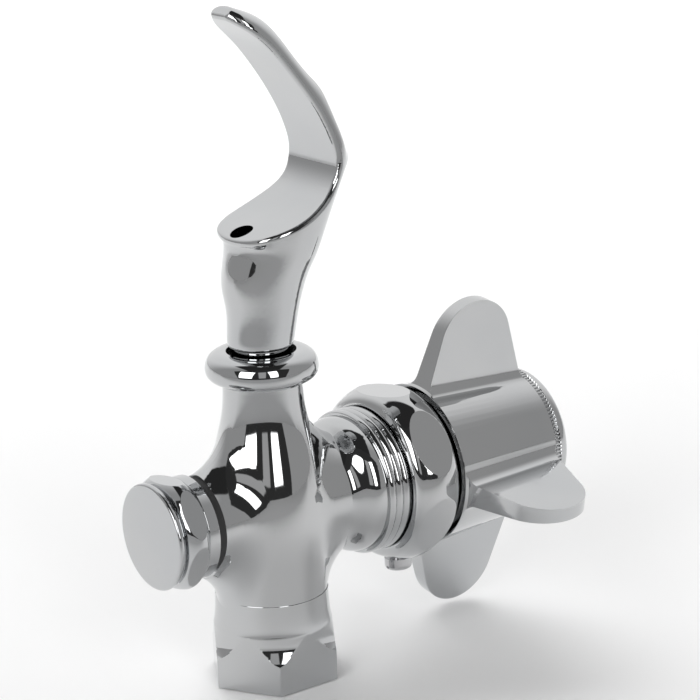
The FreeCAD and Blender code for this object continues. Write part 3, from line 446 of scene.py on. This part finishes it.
@dataclass
class BonnetNut(Piece):
    """The big nut: a barrel with six oval flats."""

    across_flats: float = 31.77
    turn: float = 4.0
    start: float = 23.2
    end: float = 33.3
    bore: float = 13.45
    rear_bore: float = 11.45
    shoulder: float = 31.0
    lip: float = 14.3
    rim: float = 15.6
    crest: float = 17.5
    bore_chamfer: float = 0.5
    lip_width: float = 1.2
    edge: float = 0.1
    sharp: float = 14.0
    overrun: float = 1.0

    def build(self, chrome: bpy.types.Material) -> None:
        """Turn the barrel, keep what lies in the hexagon, and soften it."""
        nut = Bench.turned("bonnet_nut_shown", self.barrel())
        bar = Bench.hexagonal(
            self.across_flats, self.start - self.overrun, self.end + self.overrun, -self.turn, False)
        Bench.keep_common(nut, bar)
        Bench.finish(nut, self.edge, self.sharp)
        self.hand_over(nut, chrome, "bonnet_nut")

    def barrel(self) -> list[Point]:
        """Return the nut's profile: bores, a rounded lip and the crowned outside."""
        middle = (self.start + self.end) / 2
        places = [
            (self.end, self.rear_bore), (self.shoulder, self.rear_bore), (self.shoulder, self.bore),
            (self.start + self.bore_chamfer, self.bore), (self.start, self.bore + self.bore_chamfer),
            (self.start, self.lip)]
        places += bow((self.start + 0.05, self.lip + 0.1), (self.start + 0.25, self.rim - 0.2),
                      (self.start + self.lip_width, self.rim + 0.35), 6)
        places += bow((self.start + self.lip_width + 0.1, self.rim + 0.4),
                      (middle, 2 * self.crest - self.rim - 0.9), (self.end - 0.5, self.rim + 0.1), 16)
        return places + [(self.end - 0.1, self.rim - 0.5), (self.end, self.rim - 0.8)]


@dataclass
class RegulatorCap(Piece):
    """The plug on the left: a flange, a barrel with six oval flats, a neck and a round face."""

    face: float = -25.7
    disc: float = 9.9
    neck: float = 9.1
    across_flats: float = 19.4
    crest: float = 10.95
    flange: float = 9.66
    flange_start: float = -16.9
    barrel_start: float = -19.3
    barrel_end: float = -23.6
    plug_end: float = -9.1
    plug: float = 6.35
    hollow: float = 4.7
    turn: float = 4.0
    edge: float = 0.08
    sharp: float = 14.0
    overrun: float = 1.0

    def build(self, chrome: bpy.types.Material) -> None:
        """Turn the barrel and cut its flats, then turn the plug that carries it."""
        barrel = Bench.turned("regulator_cap_barrel", self.barrel())
        bar = Bench.hexagonal(
            self.across_flats, self.barrel_end - self.overrun, self.barrel_start + self.overrun,
            -self.turn, False)
        Bench.keep_common(barrel, bar)
        Bench.finish(barrel, self.edge, self.sharp)
        plug = Bench.turned("regulator_cap_shown", self.plug_profile())
        Bench.finish(plug, 0.0, 24.0)
        self.hand_over(barrel, chrome)
        self.hand_over(plug, chrome, "regulator_cap")

    def barrel(self) -> list[Point]:
        """Return the profile of the part that has the flats."""
        head = [(self.barrel_start + 0.4, self.plug), (self.barrel_start + 0.4, self.flange - 0.2)]
        middle = (self.barrel_start + self.barrel_end) / 2
        head += bow((self.barrel_start, self.flange), (middle, 2 * self.crest - self.flange - 0.2),
                    (self.barrel_end, self.neck + 0.35), 14)
        return head + [(self.barrel_end - 0.1, self.neck - 0.1), (self.barrel_end - 0.1, self.plug)]

    def plug_profile(self) -> list[Point]:
        """Return the plug's profile: hollow shank, flange, neck and face."""
        body = [(self.barrel_end, ON_AXIS), (self.barrel_end, self.hollow), (self.plug_end, self.hollow),
                (self.plug_end, self.plug), (self.flange_start, self.plug)]
        body += bow((self.flange_start, self.flange - 0.25), (self.flange_start, self.flange),
                    (self.flange_start - 0.25, self.flange), 4)
        body += bow((self.barrel_start + 0.3, self.flange), (self.barrel_start, self.flange),
                    (self.barrel_start, self.flange - 0.3), 4)
        body += [(self.barrel_start, self.neck - 0.5)]
        body += bow((self.barrel_end + 0.1, self.neck - 0.5), (self.barrel_end - 0.3, self.neck),
                    (self.barrel_end - 0.7, self.disc - 0.35), 8)
        body += bow((self.face + 0.75, self.disc - 0.05), (self.face + 0.05, self.disc + 0.1),
                    (self.face, self.disc - 0.6), 8)
        return body + [(self.face, ON_AXIS)]


@dataclass
class Handle(Piece):
    """A tapered hub with four wings that meet it in small hollows."""

    body: str = "handle"
    turn: float = 8.0
    start: float = 34.5
    end: float = 58.4
    left_radius: float = 15.8
    right_radius: float = 14.3
    half_thickness: float = 2.2
    thinning: float = 0.8
    hollow: float = 3.0
    recess: float = 12.9
    web_start: float = 45.5
    web_end: float = 50.5
    bore: float = 4.55
    screw_recess: float = 10.5
    wing_centre: float = 46.2
    wing_root_half: float = 11.7
    wing_root: float = 14.0
    wing_reach: float = 32.0
    wing_tip: float = 8.5
    overrun: float = 2.0
    edge: float = 0.42
    sharp: float = 30.0

    def build(self, chrome: bpy.types.Material) -> None:
        """Extrude the cross, keep what lies in the turned outline, and soften it."""
        cross = self.cross()
        limit = Bench.turned("handle_limit", self.outline(), segments=240)
        Bench.keep_common(cross, limit)
        Bench.finish(cross, self.edge, self.sharp)
        self.hand_over(cross, chrome, "handle")

    def section(self) -> list[Point]:
        """Return the cross's outline at its left end: hub arcs, hollows and wings."""
        hub, hollow, half = self.left_radius, self.hollow, self.half_thickness
        centre = math.sqrt((hub + hollow) ** 2 - (half + hollow) ** 2)
        lean = math.degrees(math.atan2(half + hollow, centre))
        far = self.wing_reach + self.overrun
        first = arc((centre, -half - hollow), hollow, 180 - lean, 90, 7)
        wing = [(far, -half + self.thinning), (far, half - self.thinning)]
        last = arc((centre, half + hollow), hollow, -90, lean - 180, 7)
        hub_run = arc((0.0, 0.0), hub, lean, 90 - lean, 14)[1:-1]
        quarter = first + wing + last + hub_run
        places = []
        for i in range(4):
            angle = math.radians(self.turn + 90 * i)
            across, up = math.cos(angle), math.sin(angle)
            places += [(u * across - v * up, u * up + v * across) for u, v in quarter]
        return places

    def cross(self) -> bpy.types.Object:
        """Extrude the section along the valve's axis and taper it."""
        start, length = self.start - self.overrun, self.end - self.start + 2 * self.overrun
        places = [Vector((start, y, AXIS_HEIGHT + z)) * MM for y, z in self.section()]
        piece = Bench.first_point("handle_shown", places[0])
        Bench.run_on([*places[1:], places[0]], places[0])
        Bench.merge()
        bpy.ops.mesh.edge_face_add()
        bpy.ops.mesh.extrude_region_move(TRANSFORM_OT_translate={"value": (length * MM, 0, 0)})
        slope = (self.left_radius - self.right_radius) / (self.end - self.start)
        narrow = 1 - slope * length / self.left_radius
        axis = (start * MM, 0, AXIS_HEIGHT * MM)
        bpy.ops.transform.resize(value=(1, narrow, narrow), center_override=axis)
        Bench.clean()
        return piece

    def outline(self) -> list[Point]:
        """Return the handle's outline when it is spun: recesses, hub ends and the wings' sides."""
        tip = (self.wing_centre, self.wing_reach - self.wing_tip)
        run = math.hypot(self.wing_root_half, tip[1] - self.wing_root)
        spread = math.degrees(math.acos(self.wing_tip / run)
                              - math.atan2(tip[1] - self.wing_root, self.wing_root_half))
        flank = math.tan(math.radians(spread))
        left_foot = self.wing_centre - self.wing_root_half + (self.left_radius - self.wing_root) * flank
        right_foot = self.wing_centre + self.wing_root_half - (self.right_radius - self.wing_root) * flank
        return [
            (self.web_start, self.bore), (self.web_start, self.recess), (self.start, self.recess),
            (self.start, self.left_radius - 0.2), (left_foot - 0.05, self.left_radius + 0.12),
            *arc(tip, self.wing_tip, 180 - spread, spread, 28),
            (right_foot + 0.05, self.right_radius + 0.12), (self.end, self.right_radius - 0.15),
            (self.end, self.screw_recess), (self.web_end, self.screw_recess), (self.web_end, self.bore)]


@dataclass
class IndexCap(Piece):
    """The pressed button: a grooved rim and a domed face."""

    body: str = "handle"
    start: float = 58.42
    skirt_start: float = 55.4
    skirt: float = 10.4
    rim: float = 14.1
    rim_width: float = 1.5
    shoulder: float = 13.65
    face: float = 62.6
    rounding: float = 1.7
    grooves: int = 120
    groove_depth: float = 0.38

    def build(self, chrome: bpy.types.Material) -> None:
        """Turn the button, then press the grooves into its rim."""
        rim_end = self.start + self.rim_width
        corner = (self.face - self.rounding - 0.15, self.shoulder - self.rounding)
        button = [(self.skirt_start, ON_AXIS), (self.skirt_start, self.skirt), (self.start, self.skirt),
                  (self.start, self.rim - 0.15), (self.start + 0.1, self.rim),
                  (self.start + 0.22, self.rim), (rim_end - 0.22, self.rim),
                  (rim_end - 0.1, self.rim), (rim_end, self.rim - 0.1), (rim_end, self.shoulder)]
        button += arc(corner, self.rounding, 90, 8, 10)
        button += bow((self.face - 0.12, corner[1]), (self.face, corner[1] / 2), (self.face, ON_AXIS), 8)
        piece = Bench.turned("index_cap_shown", button, segments=3 * self.grooves)
        self.press(piece, rim_end)
        Bench.finish(piece, 0.0, 24.0)
        self.hand_over(piece, chrome, "index_cap")

    def press(self, piece: bpy.types.Object, rim_end: float) -> None:
        """Draw every third line of the rim inwards.

        Args:
            piece: the turned button.
            rim_end: where its rim ends.
        """
        select_only(piece)
        step = 2 * math.pi / self.grooves
        for vertex in piece.data.vertices:
            along, y, z = vertex.co / MM
            out = math.hypot(y, z - AXIS_HEIGHT)
            place = (math.atan2(z - AXIS_HEIGHT, y) / step) % 1
            on_line = min(place, 1 - place) < 0.1
            vertex.select = (self.start + 0.15 < along < rim_end - 0.15
                             and abs(out - self.rim) < 0.01 and on_line)
        for group in (piece.data.edges, piece.data.polygons):
            group.foreach_set("select", [False] * len(group))
        bpy.ops.object.mode_set(mode="EDIT")
        bpy.ops.mesh.select_mode(type="VERT")
        share = 1 - self.groove_depth / self.rim
        bpy.ops.transform.resize(value=(1, share, share), center_override=(0, 0, AXIS_HEIGHT * MM))
        bpy.ops.object.mode_set(mode="OBJECT")


@dataclass
class Collar(Piece):
    """The collar's lens on the body casting: a dome above, a round edge and a hollow below."""

    bore: float = 6.46
    bottom: float = 57.4
    top: float = 62.85
    dome: tuple[Point, Point, Point] = ((6.6, 63.03), (9.6, 63.1), (10.25, 61.0))
    edge: tuple[Point, Point, Point] = ((10.38, 60.4), (10.6, 58.7), (9.4, 57.95))
    hollow: tuple[Point, Point, Point] = ((9.2, 57.85), (8.2, 57.2), (7.42, 57.1))

    def build(self, chrome: bpy.types.Material) -> None:
        """Turn the lens about the nozzle's axis."""
        lens = [(self.bore, self.bottom), (self.bore, self.top)]
        lens += bow(*self.dome, 12) + bow(*self.edge, 10) + bow(*self.hollow, 6)
        ring = Bench.turned("collar_dome", lens, upright=True)
        Bench.finish(ring, 0.0, 24.0)
        self.hand_over(ring, chrome)


@dataclass
class Foot(Piece):
    """The hexagonal foot on the body casting, with a scoop at each corner."""

    across_flats: float = 22.24
    inner: float = 9.0
    outer: float = 13.4
    bottom: float = 0.02
    scoop_bottom: float = 5.2
    top: float = 16.8
    scoop: tuple[Point, Point, Point] = ((12.9, 5.5), (11.3, 7.0), (11.14, 10.3))
    flare: tuple[Point, Point, Point] = ((11.13, 10.5), (10.62, 12.6), (10.6, 16.8))

    def build(self, chrome: bpy.types.Material) -> None:
        """Turn the flare and keep what lies in the hexagon."""
        run = [(self.inner, self.bottom), (self.outer, self.bottom), (self.outer, self.scoop_bottom)]
        run += bow(*self.scoop, 12) + bow(*self.flare, 12) + [(self.inner, self.top)]
        foot = Bench.turned("hexagonal_foot", run, upright=True)
        bar = Bench.hexagonal(self.across_flats, -1, self.top + 3.2, 30, True)
        Bench.keep_common(foot, bar)
        Bench.finish(foot, 0.0, 22.0)
        self.hand_over(foot, chrome)


@dataclass
class ThreadCrests(Piece):
    """The crests of the thread that show between the boss and the nut."""

    start: float = 18.25
    pitch: float = 1.64
    root: float = 13.42
    crest: float = 0.45
    inner: float = 12.6
    count: int = 3
    shares: tuple[float, ...] = (0.0, 0.12, 0.25, 0.4, 0.5, 0.6, 0.75, 0.88)

    def build(self, chrome: bpy.types.Material) -> None:
        """Turn the crests as one ring."""
        end = self.start + self.count * self.pitch
        run = [(self.start, self.inner)]
        for i in range(self.count):
            here = self.start + i * self.pitch
            run += [(here + self.pitch * share,
                     self.root + self.crest * math.sin(math.pi * share) ** 0.8) for share in self.shares]
        crests = Bench.turned("thread_crests", run + [(end, self.root), (end, self.inner)])
        Bench.finish(crests, 0.0, 40.0)
        self.hand_over(crests, chrome)


@dataclass(frozen=True)
class Card:
    """A lit or a dark rectangle on the studio's wall, as seen from the object."""

    toward: tuple[float, float, float]
    half_width: float
    half_height: float
    light: float
    softness: float


@dataclass
class Studio:
    """The floor, the lights and the camera."""

    target: tuple[float, float] = (0.02002, 0.05878)
    distance: float = 0.46634
    azimuth: float = -36.29
    elevation: float = 16.53
    roll: float = -1.92
    sensor: float = 36.0
    lens: float = 128.571
    floor_reach: float = 6.0
    floor_colour: Colour = (0.95, 0.95, 0.95)
    # painted shade: the mid grey that the floor is painted towards the camera, standing in for less light
    # falling there
    painted_front_shade: Colour = (0.5, 0.5, 0.5)
    wall_light: float = 0.42
    back_light: float = 1.0
    box_place: tuple[float, float, float] = (0.35, 0.75, 0.8)
    box_aim: tuple[float, float, float] = (0.02, 0.15, 0.0)
    box_size: float = 0.9
    box_power: float = 7.0
    cards: tuple[Card, ...] = (
        Card((-0.05, -0.1, 1.0), 0.55, 0.5, 0.03, 0.08),
        Card((-0.564, -0.826, 0.58), 1.3, 0.66, 0.04, 0.06),
        Card((-0.929, -0.37, 0.47), 0.26, 0.36, 4.0, 0.03),
        Card((-0.56, -0.83, 0.47), 0.14, 0.36, 0.5, 0.03),
        Card((-0.17, -0.985, 0.47), 0.16, 0.36, 4.0, 0.03))

    def build(self) -> None:
        """Make everything that isn't the object."""
        self.floor()
        self.world()
        self.lights()
        self.camera()

    def floor(self) -> None:
        """Lay a plain pale floor level with the base, with painted shade that greys it towards the camera.
        """
        bpy.ops.object.select_all(action="DESELECT")
        bpy.ops.mesh.primitive_plane_add(size=2 * self.floor_reach, location=(0, 0, -0.0002))
        bpy.ops.object.transform_apply(location=True)
        floor = bpy.context.active_object
        floor.name = "studio_floor"
        material = bpy.data.materials.new("pale_floor")
        material.use_nodes = True
        sheet = NodeSheet(material.node_tree)
        duller = tuple(0.98 * part for part in self.floor_colour)
        pale = sheet.blend(sheet.noise(3.0), self.floor_colour, duller)
        # painted shade: the floor is blended from pale to mid grey between 3 and 20 cm in front of the tap,
        # towards the camera
        ahead = sheet.add("ShaderNodeVectorMath", {"operation": "DOT_PRODUCT"},
                          {0: sheet.place(), 1: (-0.59, -0.81, 0.0)}, "Value")
        shade = sheet.blend(ahead.stepped(0.03, 0.2), pale, self.painted_front_shade)
        shader = sheet.add("ShaderNodeBsdfPrincipled", {}, {"Base Color": shade, "Roughness": 0.9})
        sheet.add("ShaderNodeOutputMaterial", {}, {"Surface": shader})
        floor.data.materials.append(material)

    def world(self) -> None:
        """Light the room: pale walls, a bright back, and the cards."""
        world = bpy.data.worlds.new("studio")
        bpy.context.scene.world = world
        world.use_nodes = True
        sheet = NodeSheet(world.node_tree)
        direction = sheet.add("ShaderNodeTexCoord", {}, {}, "Generated")

        def along(axis: tuple[float, float, float]) -> Socket:
            """Return how far the direction points along an axis."""
            unit = tuple(Vector(axis).normalized())
            settings = {"operation": "DOT_PRODUCT"}
            return sheet.add("ShaderNodeVectorMath", settings, {0: direction, 1: unit}, "Value")

        back = along((0.45, 0.72, 0.6)).stepped(0.3, 0.9)
        strength = back * (self.back_light - self.wall_light) + self.wall_light
        for card in self.cards:
            middle = Vector(card.toward).normalized()
            side = middle.cross(Vector((0, 0, 1))).normalized()
            facing = along(middle)
            sideways = along(side) / facing
            upward = along(side.cross(middle)) / facing
            mask = facing.stepped(0.0, 0.01)
            for place, reach in ((sideways, card.half_width), (upward, card.half_height)):
                mask = mask * (place + reach).stepped(0.0, card.softness)
                mask = mask * (reach - place).stepped(0.0, card.softness)
            strength = strength * (1 - mask) + mask * card.light
        light = sheet.add("ShaderNodeBackground", {}, {"Color": (1.0, 1.0, 1.0, 1.0), "Strength": strength})
        sheet.add("ShaderNodeOutputWorld", {}, {"Surface": light})

    def lights(self) -> None:
        """Hang one soft box over the floor behind the tap; the chrome doesn't mirror it."""
        data = bpy.data.lights.new("overhead", "AREA")
        data.shape = "RECTANGLE"
        data.size, data.size_y = self.box_size, self.box_size
        data.energy = self.box_power
        lamp = bpy.data.objects.new("overhead", data)
        bpy.context.scene.collection.objects.link(lamp)
        lamp.visible_glossy = False
        lamp.location = self.box_place
        aim = Vector(self.box_aim) - Vector(self.box_place)
        lamp.rotation_euler = aim.to_track_quat("-Z", "Y").to_euler()

    def camera(self) -> None:
        """Set the camera where the photograph was taken from."""
        turn, rise, roll = (math.radians(value) for value in (self.azimuth, self.elevation, self.roll))
        back = Vector((math.sin(turn) * math.cos(rise), -math.cos(turn) * math.cos(rise), math.sin(rise)))
        right = Vector((math.cos(turn), math.sin(turn), 0))
        up = back.cross(right)
        tipped = right * math.cos(roll) + up * math.sin(roll)
        up = up * math.cos(roll) - right * math.sin(roll)
        data = bpy.data.cameras.new("photograph")
        data.sensor_width = self.sensor
        data.lens = self.lens
        data.clip_start = 0.01
        camera = bpy.data.objects.new("photograph", data)
        bpy.context.scene.collection.objects.link(camera)
        centre = Vector((self.target[0], 0, self.target[1]))
        place = Matrix((tipped, up, back)).transposed().to_4x4()
        place.translation = centre + back * self.distance
        camera.matrix_world = place
        bpy.context.scene.camera = camera
        bpy.context.scene.view_settings.view_transform = "Standard"


def main() -> None:
    """Build the studio and dress the tap."""
    logging.basicConfig(level=logging.INFO, format="%(name)s: %(message)s")
    finishes = Castings().dress()
    for maker in (BonnetNut, RegulatorCap, Collar, Foot, ThreadCrests):
        maker().build(finishes[CHROME.name])
    for maker in (Handle, IndexCap):
        maker().build(finishes[HANDLE_CHROME.name])
    Studio().build()


if __name__ == "__main__":
    main()
